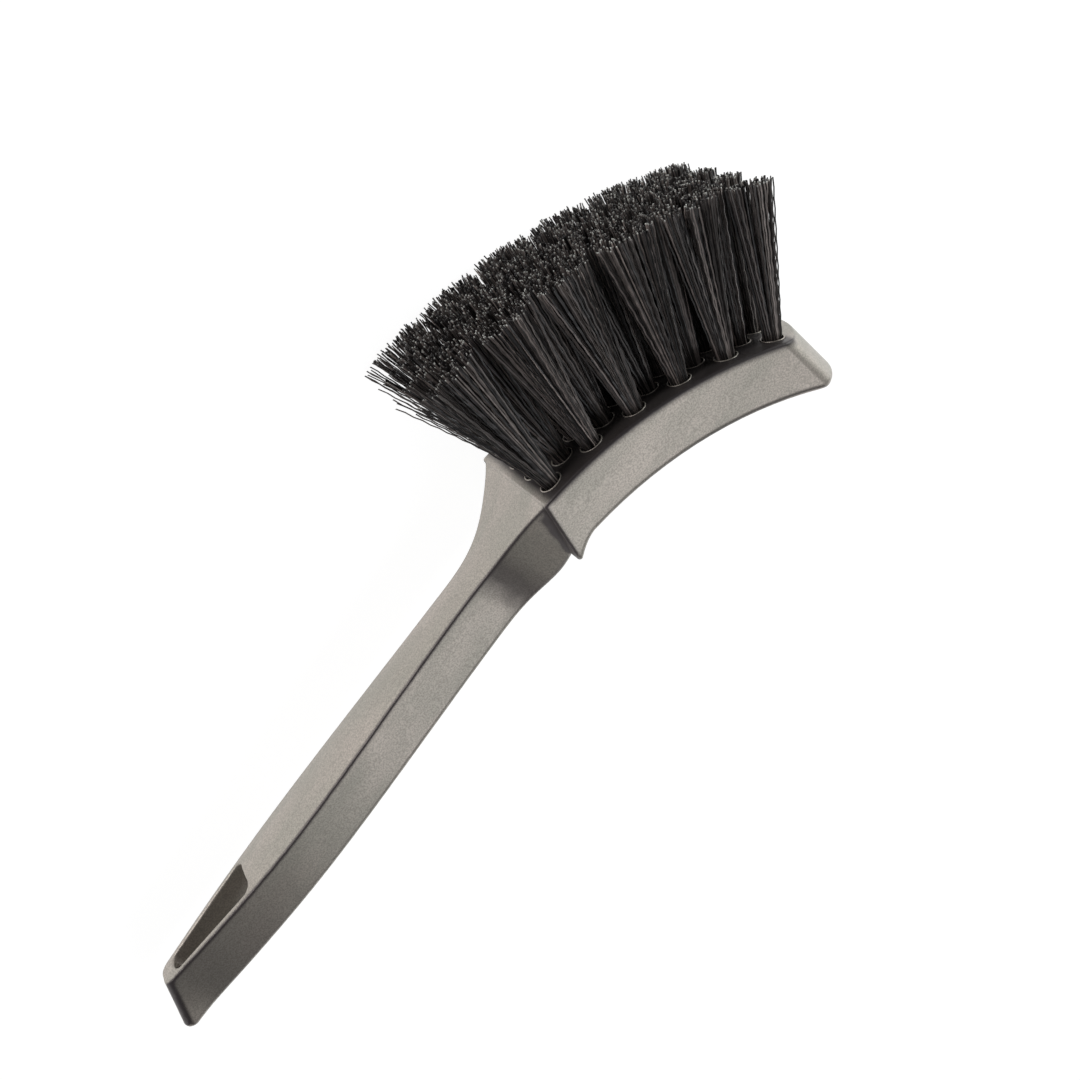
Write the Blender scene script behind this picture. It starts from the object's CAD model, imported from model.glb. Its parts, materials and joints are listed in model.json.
"""Dresses the wheel brush: satin moulding, crimped tufts, anchor wires, floor, lamps and camera."""
import json
import logging
import math
from dataclasses import dataclass, field
from enum import Enum

import bpy
import numpy as np
from mathutils import Matrix, Vector


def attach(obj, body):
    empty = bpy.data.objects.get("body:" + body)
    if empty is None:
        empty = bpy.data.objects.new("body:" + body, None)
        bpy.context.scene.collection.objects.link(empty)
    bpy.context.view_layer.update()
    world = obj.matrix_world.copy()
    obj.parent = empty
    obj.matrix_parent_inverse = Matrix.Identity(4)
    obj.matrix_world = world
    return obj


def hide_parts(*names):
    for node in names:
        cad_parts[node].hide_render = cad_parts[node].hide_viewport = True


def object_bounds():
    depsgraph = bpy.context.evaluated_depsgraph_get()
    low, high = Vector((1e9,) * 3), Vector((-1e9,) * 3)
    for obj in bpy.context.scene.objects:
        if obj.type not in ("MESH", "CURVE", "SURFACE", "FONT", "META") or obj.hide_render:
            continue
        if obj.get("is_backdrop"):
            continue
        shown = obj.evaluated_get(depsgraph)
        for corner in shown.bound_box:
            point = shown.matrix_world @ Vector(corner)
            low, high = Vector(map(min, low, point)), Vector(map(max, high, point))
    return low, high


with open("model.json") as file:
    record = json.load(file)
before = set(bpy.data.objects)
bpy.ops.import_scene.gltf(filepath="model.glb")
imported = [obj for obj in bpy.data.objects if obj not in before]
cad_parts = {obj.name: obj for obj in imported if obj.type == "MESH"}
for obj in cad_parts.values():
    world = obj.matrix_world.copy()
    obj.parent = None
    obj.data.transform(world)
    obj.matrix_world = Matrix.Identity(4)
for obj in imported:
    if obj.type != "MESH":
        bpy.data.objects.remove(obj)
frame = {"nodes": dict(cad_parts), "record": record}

LOG = logging.getLogger("wheel_brush")

ROOT_BODY = "root"
MOULDING_NODE = "moulded_handle_and_head"
TUFT_PREFIX = "bristle_tuft_"
ANCHOR_PREFIX = "anchor_wires_row_"
MM = 0.001
HOLE_DEPTH = 10 * MM
FLOOR_BAND = HOLE_DEPTH / 3  # what lies this near the lowest point is the hole's floor, at first
RING_SLACKS = (0.3, 0.1, 0.02, 0.02)  # shares of the depth that count as floor or mouth, pass by pass
MERGE_DIGITS = 6  # decimals of a metre that tell two points apart

Pair = tuple[float, float]
Triple = tuple[float, float, float]
Colour = tuple[float, float, float, float]


def srgb(red: float, green: float, blue: float) -> Colour:
    """Turn a colour picked on a 0 to 255 scale into the linear colour a shader takes.

    Args:
        red: red share, 0 to 255.
        green: green share, 0 to 255.
        blue: blue share, 0 to 255.

    Returns:
        The linear colour with an alpha of 1.
    """
    shares = [share / 255 for share in (red, green, blue)]
    linear = [share / 12.92 if share <= 0.04045 else ((share + 0.055) / 1.055) ** 2.4 for share in shares]
    return (*linear, 1.0)


class Value:
    """A number socket that can be added, subtracted and multiplied like a number."""

    def __init__(self, graph: "Graph", socket: bpy.types.NodeSocket) -> None:
        """Wrap a socket of a graph."""
        self.graph = graph
        self.socket = socket

    def _join(self, operation: str, first: object, second: object) -> "Value":
        """Add one Math node and return its result."""
        return self.graph.math(operation, first, second)

    def __add__(self, other: object) -> "Value":
        """Sum."""
        return self._join("ADD", self, other)

    def __radd__(self, other: object) -> "Value":
        """Sum with the number first."""
        return self._join("ADD", other, self)

    def __sub__(self, other: object) -> "Value":
        """Difference."""
        return self._join("SUBTRACT", self, other)

    def __rsub__(self, other: object) -> "Value":
        """Difference with the number first."""
        return self._join("SUBTRACT", other, self)

    def __mul__(self, other: object) -> "Value":
        """Product."""
        return self._join("MULTIPLY", self, other)

    def clamped(self) -> "Value":
        """Keep between 0 and 1."""
        return self.graph.math("MINIMUM", self.graph.math("MAXIMUM", self, 0.0), 1.0)

    def step(self, start: float, end: float) -> "Value":
        """Rise smoothly from 0 at start to 1 at end.

        Args:
            start: value that gives 0.
            end: value that gives 1.

        Returns:
            The smooth share.
        """
        node = self.graph.node(
            "ShaderNodeMapRange",
            {"interpolation_type": "SMOOTHSTEP"},
            {"Value": self, "From Min": start, "From Max": end},
        )
        return Value(self.graph, node.outputs["Result"])


class Graph:
    """Builds one material's or the world's node tree."""

    def __init__(self, owner: bpy.types.ID) -> None:
        """Empty the owner's tree and keep it.

        Args:
            owner: the material or world.
        """
        owner.use_nodes = True
        self.tree = owner.node_tree
        self.tree.nodes.clear()

    def node(self, kind: str, settings: dict[str, object], inputs: dict[object, object]) -> bpy.types.Node:
        """Add a node.

        Args:
            kind: the node's type name.
            settings: properties, set before the sockets.
            inputs: socket name or number to a value, a socket or a Value.

        Returns:
            The new node.
        """
        node = self.tree.nodes.new(kind)
        for name, setting in settings.items():
            setattr(node, name, setting)
        for name, source in inputs.items():
            socket = node.inputs[name]
            if isinstance(source, Value):
                source = source.socket
            if isinstance(source, bpy.types.NodeSocket):
                self.tree.links.new(source, socket)
            else:
                socket.default_value = source
        return node

    def math(self, operation: str, first: object, second: object) -> Value:
        """Add a Math node and return its result."""
        node = self.node("ShaderNodeMath", {"operation": operation}, {0: first, 1: second})
        return Value(self, node.outputs[0])

    def place(self) -> bpy.types.NodeSocket:
        """Object coordinates, in metres."""
        return self.node("ShaderNodeTexCoord", {}, {}).outputs["Object"]

    def noise(self, size: float, detail: float = 2.0, stretch: Triple = (1, 1, 1)) -> Value:
        """Noise whose spots are about one size across.

        Args:
            size: width of the spots in metres.
            detail: how many finer layers are added.
            stretch: how much finer the spots are along X, Y and Z.

        Returns:
            The noise, around 0.5.
        """
        scale = tuple(share / size for share in stretch)
        place = self.node("ShaderNodeMapping", {}, {"Vector": self.place(), "Scale": scale})
        node = self.node(
            "ShaderNodeTexNoise",
            {},
            {"Vector": place.outputs[0], "Scale": 1.0, "Detail": detail, "Roughness": 0.55},
        )
        return Value(self, node.outputs[0])

    def vector(self, operation: str, first: object, second: object) -> bpy.types.NodeSocket:
        """Add a Vector Math node and return the vector it gives."""
        return self.node("ShaderNodeVectorMath", {"operation": operation}, {0: first, 1: second}).outputs[0]

    def dot(self, first: object, second: object) -> Value:
        """How far one vector reaches along another."""
        node = self.node("ShaderNodeVectorMath", {"operation": "DOT_PRODUCT"}, {0: first, 1: second})
        return Value(self, node.outputs["Value"])

    def attribute(self, name: str) -> Value:
        """Number stored on the mesh under a name."""
        node = self.node("ShaderNodeAttribute", {"attribute_name": name}, {})
        return Value(self, node.outputs["Fac"])

    def blend(self, share: object, first: object, second: object) -> bpy.types.NodeSocket:
        """Mix two colours.

        Args:
            share: 0 gives the first colour and 1 the second.
            first: colour or colour socket.
            second: colour or colour socket.

        Returns:
            The mixed colour.
        """
        node = self.node("ShaderNodeMix", {"data_type": "RGBA"}, {0: share, 6: first, 7: second})
        return node.outputs[2]

    def bump(self, height: Value, depth: float) -> bpy.types.NodeSocket:
        """Normal from a height between 0 and 1 that is some metres deep."""
        node = self.node("ShaderNodeBump", {}, {"Height": height, "Distance": depth, "Strength": 1.0})
        return node.outputs[0]

    def finish(self, kind: str, shader: bpy.types.NodeSocket) -> None:
        """Join a shader to the tree's output."""
        self.node(kind, {}, {"Surface": shader})


@dataclass(frozen=True)
class SatinMoulding:
    """Warm grey moulded plastic with a pearl pigment, a satin grain and darkened front edges.

    The head's front face, between the tufts, is dark too. A pair says where a share starts and where it
    is full: how far a face is turned one way, from -1 to 1, or a distance.
    """

    light: Colour = srgb(200, 190, 181)
    deep: Colour = srgb(180, 176, 166)
    speck: Colour = srgb(118, 112, 106)
    edge: Colour = srgb(80, 74, 75)
    soot: Colour = srgb(64, 59, 60)
    pearl: float = 0.5
    roughness: float = 0.42
    roughness_range: float = 0.10
    flow_size: float = 14 * MM
    flow_stretch: Triple = (0.35, 1, 1)
    flow_range: Pair = (0.3, 0.7)
    flow_share: float = 0.8
    grain_size: float = 0.45 * MM
    grain_depth: float = 0.012 * MM
    grain_share: float = 0.4
    light_bias: float = 0.1
    speck_range: Pair = (0.35, 0.65)
    speck_share: float = 0.45
    line_reach: float = 1.5 * MM
    line_samples: int = 6
    line_sideways: Pair = (0.30, 0.42)
    line_forward: Pair = (0.03, 0.2)
    inner_wall: Pair = (-0.3, -0.6)
    inner_share: float = 0.2
    flank_rise: Pair = (0.01, 0.24)
    flank_fall: Pair = (0.27, 0.5)
    flank_loss: float = 0.9
    flank_sideways: Pair = (0.3, 0.6)
    flank_share: float = 0.7
    shoulder_turn: Pair = (0.6, 0.8)
    neck_length: float = 60 * MM
    soot_depths: Pair = (2.6 * MM, 0.2 * MM)
    soot_lead: Pair = (6 * MM, 3 * MM)
    soot_tail: Pair = (4 * MM, 2 * MM)
    lip_depths: Pair = (-0.12 * MM, -0.02 * MM)
    soot_base: float = 0.9
    soot_flow: float = 0.1

    def material(self, arc: "HeadArc") -> bpy.types.Material:
        """Build the material.

        Args:
            arc: the head's front arc.

        Returns:
            The material.
        """
        material = bpy.data.materials.new("satin_grey_moulding")
        graph = Graph(material)
        flow = graph.noise(self.flow_size, detail=3.0, stretch=self.flow_stretch).step(*self.flow_range)
        grain = graph.noise(self.grain_size)
        depth = flow * self.flow_share + grain * self.grain_share - self.light_bias
        colour = graph.blend(depth, self.light, self.deep)
        colour = graph.blend(grain.step(*self.speck_range) * self.speck_share, colour, self.speck)
        colour = graph.blend(self._edge_share(graph, arc), colour, self.edge)
        colour = graph.blend(self._soot_share(graph, arc, flow), colour, self.soot)
        rough = self.roughness + (flow + grain - 1.0) * (self.roughness_range / 2)
        shader = graph.node(
            "ShaderNodeBsdfPrincipled",
            {},
            {
                "Base Color": colour,
                "Metallic": self.pearl,
                "Roughness": rough,
                "Normal": graph.bump(grain, self.grain_depth),
            },
        )
        graph.finish("ShaderNodeOutputMaterial", shader.outputs[0])
        return material

    def _edge_share(self, graph: Graph, arc: "HeadArc") -> Value:
        """Share of the dark: the rounded front edges, flanks turned to the heel and inner walls.

        Args:
            graph: the material's graph.
            arc: the head's front arc.

        Returns:
            The share, from 0 to 1.
        """
        bevel = graph.node("ShaderNodeBevel", {"samples": self.line_samples}, {"Radius": self.line_reach})
        normal = bevel.outputs["Normal"]
        side = graph.math("SIGN", graph.dot(graph.place(), arc.axes.sideways) - arc.height(), 0.0)
        towards_side = graph.dot(normal, arc.axes.sideways) * side
        forward = graph.dot(normal, arc.axes.forward)
        line = towards_side.step(*self.line_sideways) * forward.step(*self.line_forward)
        inside = towards_side.step(*self.inner_wall) * self.inner_share
        turned = graph.dot(normal, -arc.axes.lengthwise)
        flank = turned.step(*self.flank_rise) - turned.step(*self.flank_fall) * self.flank_loss
        flank = flank * towards_side.step(*self.flank_sideways)
        along = graph.dot(graph.place(), arc.axes.lengthwise)
        near_head = along.step(arc.first_mouth - self.neck_length, arc.first_mouth)
        shoulder = turned.step(*self.shoulder_turn) * near_head
        return (line + inside + flank * self.flank_share + shoulder).clamped()

    def _soot_share(self, graph: Graph, arc: "HeadArc", flow: Value) -> Value:
        """Share of the darkening on the head's front face, fading down the sides and off the holes' lips.

        Args:
            graph: the material's graph.
            arc: the head's front arc.
            flow: the slow cloudiness of the plastic.

        Returns:
            The share, from 0 to 1.
        """
        offset = graph.vector("SUBTRACT", graph.place(), Vector(arc.centre))
        around = graph.vector("CROSS_PRODUCT", offset, arc.axes.sideways)
        out = graph.node("ShaderNodeVectorMath", {"operation": "LENGTH"}, {0: around}).outputs["Value"]
        depth = arc.radius - Value(graph, out)
        along = graph.dot(graph.place(), arc.axes.lengthwise)
        head = along.step(*(arc.first_mouth - lead for lead in self.soot_lead))
        head = head * along.step(*(arc.last_mouth + tail for tail in self.soot_tail))
        below_lips = depth.step(*self.lip_depths)
        cloudy = self.soot_base + flow * self.soot_flow
        return depth.step(*self.soot_depths) * below_lips * head * cloudy


@dataclass(frozen=True)
class BlackFilament:
    """Black crimped filament, each strand its own tone, with pale cut ends."""

    dark: Colour = srgb(33, 31, 32)
    brown: Colour = srgb(178, 165, 160)
    cut_end: Colour = srgb(232, 233, 228)
    mottle_size: float = 2.5 * MM
    mottle_range: Pair = (0.35, 0.65)
    tone_base: float = 0.75
    tone_mottle: float = 0.4
    roughness: float = 0.38
    mottle_roughness: float = 0.12
    cut_reach: Pair = (0.988, 1.0)
    cut_tones: Pair = (0.35, 0.85)

    def material(self) -> bpy.types.Material:
        """Build the material.

        Returns:
            The material.
        """
        material = bpy.data.materials.new("black_crimped_filament")
        graph = Graph(material)
        tone = graph.attribute("tone")
        reach = graph.attribute("reach")
        mottle = graph.noise(self.mottle_size, detail=1.0).step(*self.mottle_range)
        share = tone * tone * (self.tone_base + mottle * self.tone_mottle)
        strand = graph.blend(share, self.dark, self.brown)
        cut = reach.step(*self.cut_reach) * tone.step(*self.cut_tones)
        colour = graph.blend(cut, strand, self.cut_end)
        shader = graph.node(
            "ShaderNodeBsdfPrincipled",
            {},
            {"Base Color": colour, "Roughness": self.roughness + mottle * self.mottle_roughness},
        )
        graph.finish("ShaderNodeOutputMaterial", shader.outputs[0])
        return material


@dataclass(frozen=True)
class AnchorSteel:
    """Plain drawn steel wire, faintly lined along its length."""

    steel: Colour = srgb(176, 174, 168)
    tarnish: Colour = srgb(128, 122, 112)
    line_size: float = 0.12 * MM
    line_stretch: Triple = (0.05, 1, 1)
    line_depth: float = 0.004 * MM
    spot_size: float = 1.5 * MM
    spot_range: Pair = (0.5, 0.8)
    roughness: float = 0.3
    line_roughness: float = 0.15

    def material(self) -> bpy.types.Material:
        """Build the material.

        Returns:
            The material.
        """
        material = bpy.data.materials.new("anchor_wire_steel")
        graph = Graph(material)
        lines = graph.noise(self.line_size, stretch=self.line_stretch)
        spots = graph.noise(self.spot_size, detail=3.0).step(*self.spot_range)
        shader = graph.node(
            "ShaderNodeBsdfPrincipled",
            {},
            {
                "Base Color": graph.blend(spots, self.steel, self.tarnish),
                "Metallic": 1.0,
                "Roughness": self.roughness + lines * self.line_roughness,
                "Normal": graph.bump(lines, self.line_depth),
            },
        )
        graph.finish("ShaderNodeOutputMaterial", shader.outputs[0])
        return material


@dataclass(frozen=True)
class WhiteFloor:
    """White floor that stays white to the eye and keeps a soft shadow."""

    paper: Colour = (0.80, 0.80, 0.80, 1.0)
    fibre: Colour = (0.78, 0.78, 0.78, 1.0)
    shade: Colour = (0.28, 0.28, 0.28, 1.0)
    fibre_size: float = 0.6 * MM
    roughness: float = 0.9
    glow: float = 0.92

    def material(self) -> bpy.types.Material:
        """Build the material.

        Returns:
            The material.
        """
        material = bpy.data.materials.new("white_floor")
        graph = Graph(material)
        fibres = graph.noise(self.fibre_size)
        paper = graph.node(
            "ShaderNodeBsdfPrincipled",
            {},
            {
                "Base Color": graph.blend(fibres, self.paper, self.fibre),
                "Roughness": self.roughness,
                "Specular IOR Level": 0.0,
            },
        )
        shaded = graph.node("ShaderNodeBsdfDiffuse", {}, {"Color": self.shade})
        glow = graph.node("ShaderNodeEmission", {}, {"Color": (1, 1, 1, 1), "Strength": self.glow})
        seen = graph.node("ShaderNodeAddShader", {}, {0: shaded.outputs[0], 1: glow.outputs[0]})
        mixed = graph.node(
            "ShaderNodeMixShader", {}, {0: seen_rays(graph), 1: paper.outputs[0], 2: seen.outputs[0]}
        )
        graph.finish("ShaderNodeOutputMaterial", mixed.outputs[0])
        return material


def seen_rays(graph: Graph) -> Value:
    """Share that is 1 for rays that show a surface to the eye, direct or mirrored.

    Args:
        graph: the material's graph.

    Returns:
        The share, 0 or 1.
    """
    rays = graph.node("ShaderNodeLightPath", {}, {})
    names = ("Is Camera Ray", "Is Glossy Ray", "Is Transmission Ray")
    direct, mirrored, through = (Value(graph, rays.outputs[name]) for name in names)
    return (direct + mirrored + through).clamped()


def only_select(piece: bpy.types.Object) -> None:
    """Make one object the only selected and the active one.

    Args:
        piece: the object.
    """
    bpy.ops.object.select_all(action="DESELECT")
    piece.select_set(True)
    bpy.context.view_layer.objects.active = piece


@dataclass
class AnchorWires:
    """Flat wires that hold the tufts, one node per row."""

    nodes: list[bpy.types.Object]
    finish: AnchorSteel = field(default_factory=AnchorSteel)

    def build(self) -> list[bpy.types.Object]:
        """Dress each row's wires in steel.

        Returns:
            The rows' nodes.
        """
        steel = self.finish.material()
        for node in self.nodes:
            for slot in node.material_slots:
                slot.material = steel
        return self.nodes


@dataclass(frozen=True)
class TuftSeat:
    """Where one tuft stands."""

    floor: np.ndarray
    axis: np.ndarray
    along: np.ndarray
    across: np.ndarray
    height: float
    reach: tuple[float, float]

    @classmethod
    def of_node(cls, node: bpy.types.Object) -> "TuftSeat":
        """Find a tuft's axis from the middles of its two ends.

        Args:
            node: the tuft's solid.

        Returns:
            The seat, with the axis from the hole's floor to the tips and the fan's reach along and across
            the row.
        """
        points = np.unique(np.round([vertex.co for vertex in node.data.vertices], MERGE_DIGITS), axis=0)
        height = points[:, 1]
        floor = points[height < height.min() + FLOOR_BAND].mean(axis=0)
        tips = points[height > height.max() - HOLE_DEPTH].mean(axis=0)
        axis = cls._unit(tips - floor)
        for slack in RING_SLACKS:
            height = points @ axis - (points @ axis).min()
            floor = cls._ring_middle(points[height < slack * HOLE_DEPTH], axis)
            mouth = cls._ring_middle(points[np.abs(height - HOLE_DEPTH) < slack * HOLE_DEPTH], axis)
            axis = cls._unit(mouth - floor)
        along, across = cls._sides(axis)
        fan = points - floor
        reach = (float(np.abs(fan @ along).max()), float(np.abs(fan @ across).max()))
        return cls(floor, axis, along, across, float((fan @ axis).max()), reach)

    @property
    def mouth(self) -> np.ndarray:
        """Middle of the hole's mouth."""
        return self.floor + HOLE_DEPTH * self.axis

    @staticmethod
    def _unit(vector: np.ndarray) -> np.ndarray:
        """The same direction with a length of 1."""
        return vector / np.linalg.norm(vector)

    @classmethod
    def _sides(cls, axis: np.ndarray) -> tuple[np.ndarray, np.ndarray]:
        """Directions along and across the row, square to a tuft's axis.

        Args:
            axis: the tuft's axis.

        Returns:
            The two directions, each with a length of 1.
        """
        along = np.array([1.0, 0.0, 0.0])
        along = cls._unit(along - axis * (along @ axis))
        return along, np.cross(axis, along)

    @classmethod
    def _ring_middle(cls, ring: np.ndarray, axis: np.ndarray) -> np.ndarray:
        """Middle of a ring of points square to an axis.

        Args:
            ring: the ring's points.
            axis: direction that the ring is square to.

        Returns:
            The middle of the box round them, drawn along the axis.
        """
        frame_axes = np.array([*cls._sides(axis), axis])
        local = ring @ frame_axes.T
        return (local.min(axis=0) + local.max(axis=0)) / 2 @ frame_axes


@dataclass(frozen=True)
class BrushAxes:
    """The brush's own directions. It leans a little, because its tufts' tips touch the floor too."""

    forward: Vector
    sideways: Vector

    @classmethod
    def of_record(cls, record: dict) -> "BrushAxes":
        """Read the directions from the mounts."""
        axes = {mount["name"]: Vector(mount["axis"]) for mount in record["mounts"]}
        return cls(axes["hanging_slot"], -axes["head_side"])

    @property
    def lengthwise(self) -> Vector:
        """From the heel to the tip."""
        return self.forward.cross(self.sideways)


@dataclass(frozen=True)
class HeadArc:
    """The head's front arc, which the holes open in and the tips are trimmed about."""

    centre: np.ndarray
    axes: BrushAxes
    radius: float
    trim_radius: float
    first_mouth: float
    last_mouth: float

    @classmethod
    def of_tufts(cls, axes: BrushAxes, seats: list[TuftSeat], nodes: list[bpy.types.Object]) -> "HeadArc":
        """Fit the arc to the holes' mouths and measure how far out the tips stand.

        Args:
            axes: the brush's directions.
            seats: every tuft's seat.
            nodes: every tuft's solid.

        Returns:
            The arc.
        """
        flat = np.array([axes.lengthwise, axes.forward])
        mouths = np.array([seat.mouth for seat in seats])
        plane = mouths @ flat.T
        system = np.column_stack([2 * plane, np.ones(len(plane))])
        along, forward, rest = np.linalg.lstsq(system, (plane**2).sum(axis=1), rcond=None)[0]
        radius = math.sqrt(rest + along**2 + forward**2)
        middle = mouths.mean(axis=0) @ np.array(axes.sideways)
        centre = np.array([along, forward]) @ flat + middle * np.array(axes.sideways)
        points = np.array([vertex.co for node in nodes for vertex in node.data.vertices])
        tips = np.linalg.norm((points - centre) @ flat.T, axis=1).max()
        return cls(centre, axes, radius, float(tips), float(plane[:, 0].min()), float(plane[:, 0].max()))

    def height(self) -> float:
        """How far the brush's middle lies along the sideways direction."""
        return float(self.centre @ np.array(self.axes.sideways))

    def distance(self, points: np.ndarray) -> np.ndarray:
        """Distance of points from the arc's axis."""
        flat = np.array([self.axes.lengthwise, self.axes.forward])
        return np.linalg.norm((points - self.centre) @ flat.T, axis=-1)


@dataclass
class Moulding:
    """Handle, neck and curved head in one piece."""

    node: bpy.types.Object
    arc: HeadArc
    mouths: list[np.ndarray]
    finish: SatinMoulding = field(default_factory=SatinMoulding)
    merge_distance: float = 0.002 * MM
    crease_angle: float = 32.0
    lip_radius: float = 3.45 * MM
    lip_thickness: float = 0.22 * MM
    lip_segments: int = 32
    lip_sides: int = 12

    def build(self) -> bpy.types.Object:
        """Copy the node, add the holes' lips, merge loose triangles and smooth the rounded faces.

        Returns:
            The dressed moulding.
        """
        only_select(self.node)
        bpy.ops.object.duplicate(linked=False)
        skin = bpy.context.view_layer.objects.active
        skin.name = "moulding_skin"
        lips = [self._lip(mouth) for mouth in self.mouths]
        only_select(skin)
        for lip in lips:
            lip.select_set(True)
        bpy.ops.object.join()
        bpy.ops.object.mode_set(mode="EDIT")
        bpy.ops.mesh.select_all(action="SELECT")
        bpy.ops.mesh.remove_doubles(threshold=self.merge_distance)
        bpy.ops.object.mode_set(mode="OBJECT")
        bpy.ops.object.shade_smooth_by_angle(angle=math.radians(self.crease_angle))
        weighting = skin.modifiers.new("even_normals", "WEIGHTED_NORMAL")
        weighting.keep_sharp = True
        bpy.ops.object.modifier_apply(modifier=weighting.name)
        self._dress(skin)
        return skin

    def _lip(self, mouth: np.ndarray) -> bpy.types.Object:
        """Add the thin raised lip round one hole, flat on the head's front face.

        Args:
            mouth: middle of the hole's mouth.

        Returns:
            The lip.
        """
        sideways = self.arc.axes.sideways
        offset = Vector(mouth - self.arc.centre)
        outward = offset - sideways * offset.dot(sideways)
        bpy.ops.object.select_all(action="DESELECT")
        bpy.ops.mesh.primitive_torus_add(
            major_radius=self.lip_radius,
            minor_radius=self.lip_thickness,
            major_segments=self.lip_segments,
            minor_segments=self.lip_sides,
            location=mouth,
            rotation=outward.to_track_quat("Z", "Y").to_euler(),
        )
        bpy.ops.object.transform_apply(location=True, rotation=True, scale=False)
        return bpy.context.view_layer.objects.active

    def _dress(self, skin: bpy.types.Object) -> None:
        """Give the skin its finish and let it stand for the node.

        Args:
            skin: the dressed copy.
        """
        skin.data.materials.clear()
        skin.data.materials.append(self.finish.material(self.arc))
        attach(skin, ROOT_BODY)
        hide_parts(MOULDING_NODE)


class End(Enum):
    """Which end of its row a tuft stands at."""

    HEEL = "heel"
    MIDDLE = "middle"
    TIP = "tip"


@dataclass
class CrimpedFilament:
    """One strand, straight in its hole and crimped above it."""

    radius: float = 0.23 * MM
    sides: int = 3
    kinks: int = 18
    crimp: float = 0.12 * MM
    length: float = 56.3 * MM

    def build(self) -> bpy.types.Object:
        """Extrude the strand kink by kink, standing at the origin.

        Returns:
            The strand, closed at both ends.
        """
        bpy.ops.object.select_all(action="DESELECT")
        bpy.ops.mesh.primitive_circle_add(vertices=self.sides, radius=self.radius, fill_type="NGON")
        strand = bpy.context.view_layer.objects.active
        bpy.ops.object.mode_set(mode="EDIT")
        bpy.ops.mesh.select_all(action="SELECT")
        rise = (self.length - HOLE_DEPTH) / self.kinks
        self._extrude(0.0, HOLE_DEPTH)
        side = self.crimp
        for kink in range(self.kinks):
            self._extrude(side if kink == 0 else 2 * side, rise)
            side = -side
        bpy.ops.mesh.select_all(action="SELECT")
        bpy.ops.mesh.normals_make_consistent(inside=False)
        bpy.ops.object.mode_set(mode="OBJECT")
        return strand

    def _extrude(self, sideways: float, upwards: float) -> None:
        """Draw the strand's end further."""
        bpy.ops.mesh.extrude_region_move(TRANSFORM_OT_translate={"value": (sideways, 0.0, upwards)})


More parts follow.
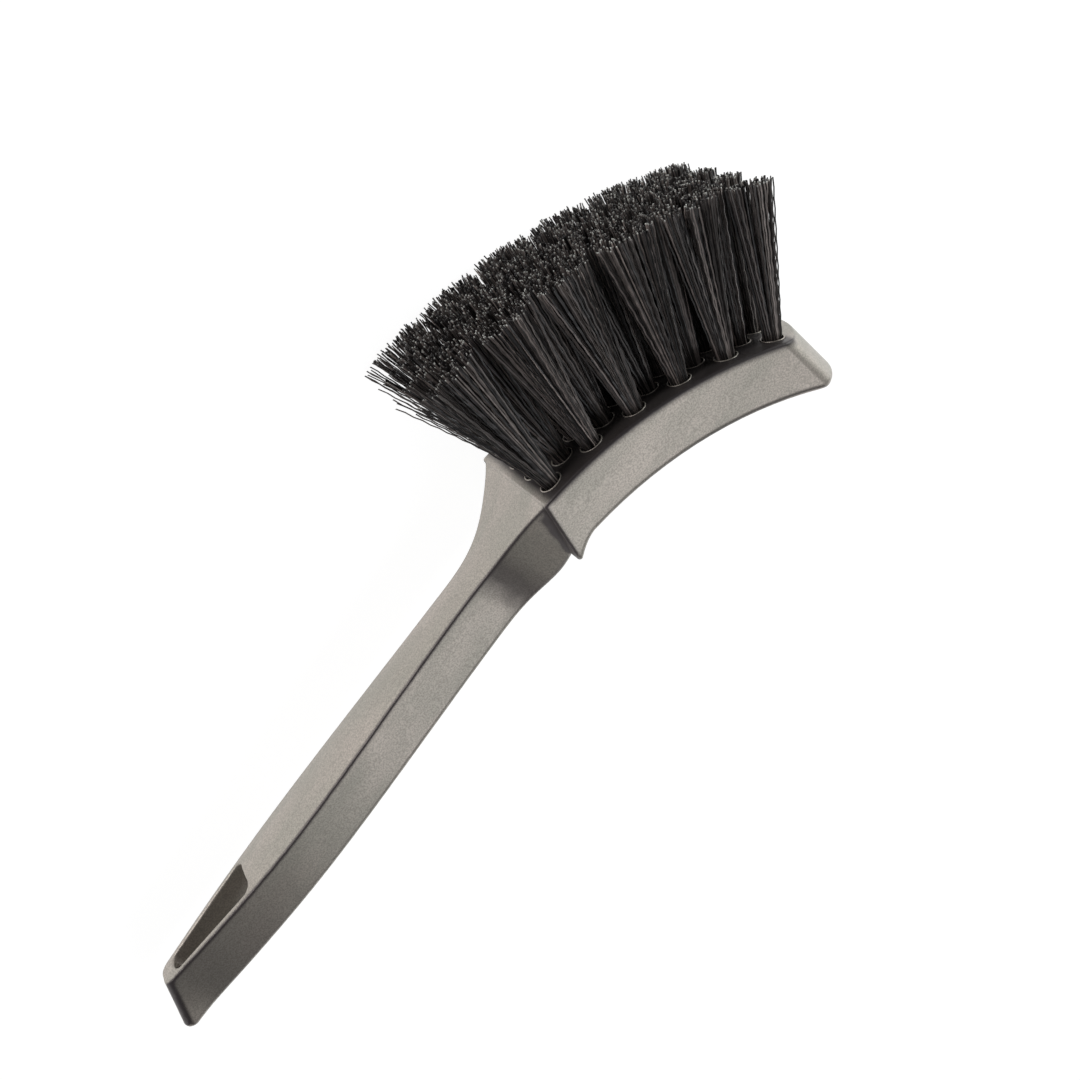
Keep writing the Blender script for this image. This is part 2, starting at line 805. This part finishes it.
@dataclass
class Tuft:
    """A bundle of strands that fans out above its hole.

    A shape is the pair of numbers that a beta or gamma draw takes.
    """

    name: str
    seat: TuftSeat
    end: End
    count: int = 128
    bundle_radius: float = 2.62 * MM
    scatter: float = 0.55 * MM
    clump_pull: float = 0.30
    clump_range: Pair = (0.3, 1)
    clumps: int = 10
    uneven: float = 1.5 * MM
    uneven_shape: Pair = (1.2, 3.0)
    tone_shape: Pair = (1.3, 2.2)
    bend: float = 0.35 * MM
    stray_share: float = 0.03
    stray_reach: float = 2.2 * MM
    heel_lean: float = 3.2 * MM
    heel_lean_shape: Pair = (1.6, 0.7)
    heel_curve: float = 1.3
    plain_curve: float = 2.2
    tip_squash: float = 0.62
    opening: float = 1.1
    slide: float = 9.0 * MM

    @property
    def curve(self) -> float:
        """How late the strands bend: the heel's tufts do so from lower down."""
        return self.heel_curve if self.end is End.HEEL else self.plain_curve

    def build(self, strand: np.ndarray, faces: list[tuple[int, ...]], arc: HeadArc, room: np.ndarray,
              random: np.random.Generator) -> bpy.types.Object:
        """Lay out the strands and make one mesh of them.

        Args:
            strand: points of the modelled strand, standing on its root.
            faces: faces of the modelled strand.
            arc: the arc that the tips are trimmed about.
            room: lowest and highest corner that the strands' middles keep within.
            random: seeded source of the small differences between strands.

        Returns:
            The tuft's object.
        """
        height = strand[:, 2]
        free = np.clip((height - HOLE_DEPTH) / (height.max() - HOLE_DEPTH), 0, 1)
        roots, tips = self._layout(random)
        bends = self._bends(roots, random)
        opened = (free**self.opening)[None, :, None]
        centre = roots[:, None, :] * (1 - opened) + tips[:, None, :] * opened
        centre = centre + bends[:, None, :] * (free**self.curve)[None, :, None]
        turn = random.uniform(0, 2 * math.pi, (self.count, 1))
        local = np.stack(
            [
                strand[:, 0] * np.cos(turn) - strand[:, 1] * np.sin(turn),
                strand[:, 0] * np.sin(turn) + strand[:, 1] * np.cos(turn),
            ],
            axis=-1,
        )
        sides = np.array([self.seat.along, self.seat.across])
        slid = height + random.uniform(-self.slide, self.slide, (self.count, 1)) * free * (1 - free)
        middles = self.seat.floor + centre @ sides + slid[..., None] * self.seat.axis
        ends = arc.distance(middles[:, -1, :])
        target = arc.trim_radius - self.uneven * random.beta(*self.uneven_shape, self.count)
        middles += ((target - ends)[:, None] * free)[..., None] * self.seat.axis
        points = np.clip(middles, room[0], room[1]) + local @ sides
        return self._mesh(points, faces, free, random)

    def _layout(self, random: np.random.Generator) -> tuple[np.ndarray, np.ndarray]:
        """Spread the strands evenly over the bundle and draw their tips into clumps.

        Args:
            random: seeded source of the differences.

        Returns:
            Sideways places at the root and at the tip, along and across the row.
        """
        order = np.arange(self.count) + 0.5
        ring = np.sqrt(order / self.count)
        angle = order * math.pi * (3 - math.sqrt(5)) + random.uniform(0, 2 * math.pi)
        disc = np.stack([ring * np.cos(angle), ring * np.sin(angle)], axis=1)
        roots = disc * self.bundle_radius
        tips = disc * self.seat.reach + random.normal(0, self.scatter, disc.shape)
        middles = tips[random.choice(self.count, self.clumps, replace=False)]
        nearest = np.argmin(np.linalg.norm(tips[:, None, :] - middles[None, :, :], axis=2), axis=1)
        pull = (middles[nearest] - tips) * self.clump_pull
        tips += pull * random.uniform(*self.clump_range, (self.count, 1))
        if self.end is End.TIP:
            tips[:, 0] = np.where(tips[:, 0] > 0, tips[:, 0] * self.tip_squash, tips[:, 0])
        return roots, tips

    def _bends(self, roots: np.ndarray, random: np.random.Generator) -> np.ndarray:
        """Curve the strands sideways, with a few strays and the heel's tufts leaning out.

        Args:
            roots: sideways places at the root, along and across the row.
            random: seeded source of the differences.

        Returns:
            Sideways way that each tip is bent, along and across the row.
        """
        bends = random.normal(0, self.bend, roots.shape)
        strays = random.random(self.count) < self.stray_share
        bends[strays] += random.normal(0, self.stray_reach, (int(strays.sum()), 2))
        if self.end is End.HEEL:
            outer = np.clip(-roots[:, 0] / self.bundle_radius, 0, 1)
            bends[:, 0] -= self.heel_lean * outer * random.gamma(*self.heel_lean_shape, self.count)
        return bends

    def _mesh(self, points: np.ndarray, faces: list[tuple[int, ...]], free: np.ndarray,
              random: np.random.Generator) -> bpy.types.Object:
        """Make the mesh with each strand's tone and reach stored on it.

        Args:
            points: places of every strand's points.
            faces: faces of one strand.
            free: how far up each of a strand's points is, 0 at the hole and 1 at the tip.
            random: seeded source of the tones.

        Returns:
            The new object, linked to the scene.
        """
        size = points.shape[1]
        starts = range(0, size * self.count, size)
        every = [tuple(corner + start for corner in face) for start in starts for face in faces]
        mesh = bpy.data.meshes.new(self.name)
        mesh.from_pydata(points.reshape(-1, 3).tolist(), [], every)
        tones = np.repeat(random.beta(*self.tone_shape, self.count), size)
        mesh.attributes.new("tone", "FLOAT", "POINT").data.foreach_set("value", tones.astype(np.float32))
        reach = np.tile(free, self.count)
        mesh.attributes.new("reach", "FLOAT", "POINT").data.foreach_set("value", reach.astype(np.float32))
        mesh.update()
        tuft = bpy.data.objects.new(self.name, mesh)
        bpy.context.scene.collection.objects.link(tuft)
        return tuft


@dataclass
class BristleField:
    """Every tuft of the head."""

    nodes: list[bpy.types.Object]
    axes: BrushAxes
    box: np.ndarray
    filament: CrimpedFilament = field(default_factory=CrimpedFilament)
    finish: BlackFilament = field(default_factory=BlackFilament)
    seed: int = 7

    def __post_init__(self) -> None:
        """Find every tuft's seat and the arc they stand on."""
        self.seats = [TuftSeat.of_node(node) for node in self.nodes]
        self.arc = HeadArc.of_tufts(self.axes, self.seats, self.nodes)

    def build(self) -> list[bpy.types.Object]:
        """Model one strand, lay out each tuft from it and dress them.

        Returns:
            The tufts.
        """
        strand = self.filament.build()
        points = np.array([vertex.co for vertex in strand.data.vertices])
        faces = [tuple(face.vertices) for face in strand.data.polygons]
        bpy.data.objects.remove(strand)
        material = self.finish.material()
        margin = self.filament.radius + self.filament.crimp
        room = self.box + np.array([[margin], [-margin]])
        last = {}
        for node in self.nodes:
            row, place = self._address(node)
            last[row] = max(last.get(row, 0), place)
        tufts = []
        for index, (node, seat) in enumerate(zip(self.nodes, self.seats)):
            row, place = self._address(node)
            end = End.HEEL if place == 1 else End.TIP if place == last[row] else End.MIDDLE
            tuft = Tuft(f"tuft_{row}_{place}_filaments", seat, end)
            piece = tuft.build(points, faces, self.arc, room, np.random.default_rng(self.seed + index))
            piece.data.materials.append(material)
            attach(piece, ROOT_BODY)
            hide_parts(node.name)
            tufts.append(piece)
        return tufts

    @staticmethod
    def _address(node: bpy.types.Object) -> tuple[int, int]:
        """Row and place in it, read from a node's name."""
        row, place = node.name.removeprefix(TUFT_PREFIX).split("_")
        return int(row), int(place)


@dataclass(frozen=True)
class SoftBox:
    """An oblong area lamp that looks at the brush."""

    name: str
    place: Triple
    width: float
    height: float
    power: float
    tint: Triple

    def build(self, aim: Vector) -> None:
        """Add the lamp, turned towards a point.

        Args:
            aim: the point, which the lamp's place is measured from.
        """
        lamp = bpy.data.lights.new(self.name, "AREA")
        lamp.shape = "RECTANGLE"
        lamp.size = self.width
        lamp.size_y = self.height
        lamp.energy = self.power
        lamp.color = self.tint
        holder = bpy.data.objects.new(self.name, lamp)
        holder.location = aim + Vector(self.place)
        holder.rotation_euler = Vector(self.place).to_track_quat("Z", "Y").to_euler()
        bpy.context.scene.collection.objects.link(holder)


@dataclass
class Studio:
    """Floor, sky, lamps and camera."""

    floor_radius: float = 3.0
    floor_sides: int = 96
    sky: float = 0.14
    azimuth: float = 0.53
    elevation: float = 62.69
    roll: float = 127.57
    distance: float = 0.4004
    lens: float = 45.55
    aim: Triple = (0.0296, -0.0140, 0.0242)
    lamps: tuple[SoftBox, ...] = (
        SoftBox(
            name="top_box",
            place=(-0.01, -0.39, 0.63),
            width=0.55,
            height=0.30,
            power=1.18,
            tint=(0.96, 0.98, 1.0),
        ),
        SoftBox(
            name="end_box",
            place=(0.60, -0.10, 0.20),
            width=0.30,
            height=0.30,
            power=1.7,
            tint=(0.94, 1.0, 0.98),
        ),
        SoftBox(
            name="front_box",
            place=(-0.25, 0.90, 0.20),
            width=0.60,
            height=0.30,
            power=4.0,
            tint=(1.0, 0.98, 0.96),
        ),
    )

    def build(self) -> None:
        """Set up everything around the brush."""
        aim = Vector(self.aim)
        self._floor()
        self._sky()
        for lamp in self.lamps:
            lamp.build(aim)
        self._camera(aim)
        bpy.context.scene.view_settings.view_transform = "Standard"

    def _floor(self) -> None:
        """Add the round floor under the brush."""
        bpy.ops.object.select_all(action="DESELECT")
        bpy.ops.mesh.primitive_circle_add(
            vertices=self.floor_sides, radius=self.floor_radius, fill_type="NGON"
        )
        floor = bpy.context.view_layer.objects.active
        floor.name = "floor"
        floor.data.materials.append(WhiteFloor().material())
        floor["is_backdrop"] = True

    def _sky(self) -> None:
        """Even, faint light from all round."""
        world = bpy.data.worlds.new("studio")
        bpy.context.scene.world = world
        graph = Graph(world)
        sky = graph.node("ShaderNodeBackground", {}, {"Color": (1, 1, 1, 1), "Strength": self.sky})
        graph.finish("ShaderNodeOutputWorld", sky.outputs[0])

    def _camera(self, aim: Vector) -> None:
        """Add the camera above the bristles' side, rolled so the handle runs down to the left.

        Args:
            aim: the point at the middle of the view.
        """
        angles = (self.azimuth, self.elevation, self.roll)
        azimuth, elevation, roll = (math.radians(angle) for angle in angles)
        back = Vector(
            (
                math.sin(azimuth) * math.cos(elevation),
                math.cos(azimuth) * math.cos(elevation),
                math.sin(elevation),
            )
        )
        level = Vector((0, 0, 1)).cross(back).normalized()
        rise = back.cross(level)
        right = level * math.cos(roll) + rise * math.sin(roll)
        up = rise * math.cos(roll) - level * math.sin(roll)
        data = bpy.data.cameras.new("camera")
        data.lens = self.lens
        camera = bpy.data.objects.new("camera", data)
        turn = Matrix((right, up, back)).transposed().to_4x4()
        camera.matrix_world = Matrix.Translation(aim + back * self.distance) @ turn
        bpy.context.scene.collection.objects.link(camera)
        bpy.context.scene.camera = camera


def corners() -> list[list[float]]:
    """The lowest and highest corner of what shows, as plain lists."""
    return [list(corner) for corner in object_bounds()]


def main() -> None:
    """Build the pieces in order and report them."""
    logging.basicConfig(level=logging.INFO, format="%(name)s: %(message)s")
    nodes = frame["nodes"]
    cad_box = corners()
    axes = BrushAxes.of_record(frame["record"])
    tufts = [nodes[name] for name in sorted(nodes) if name.startswith(TUFT_PREFIX)]
    bristles = BristleField(tufts, axes, np.array(cad_box))
    mouths = [seat.mouth for seat in bristles.seats]
    moulding = Moulding(nodes[MOULDING_NODE], bristles.arc, mouths).build()
    LOG.info("%s: %d faces", moulding.name, len(moulding.data.polygons))
    wires = AnchorWires([nodes[name] for name in sorted(nodes) if name.startswith(ANCHOR_PREFIX)]).build()
    LOG.info("anchor wires: %d rows", len(wires))
    for tuft in bristles.build():
        LOG.info("%s: %d faces", tuft.name, len(tuft.data.polygons))
    Studio().build()


if __name__ == "__main__":
    main()
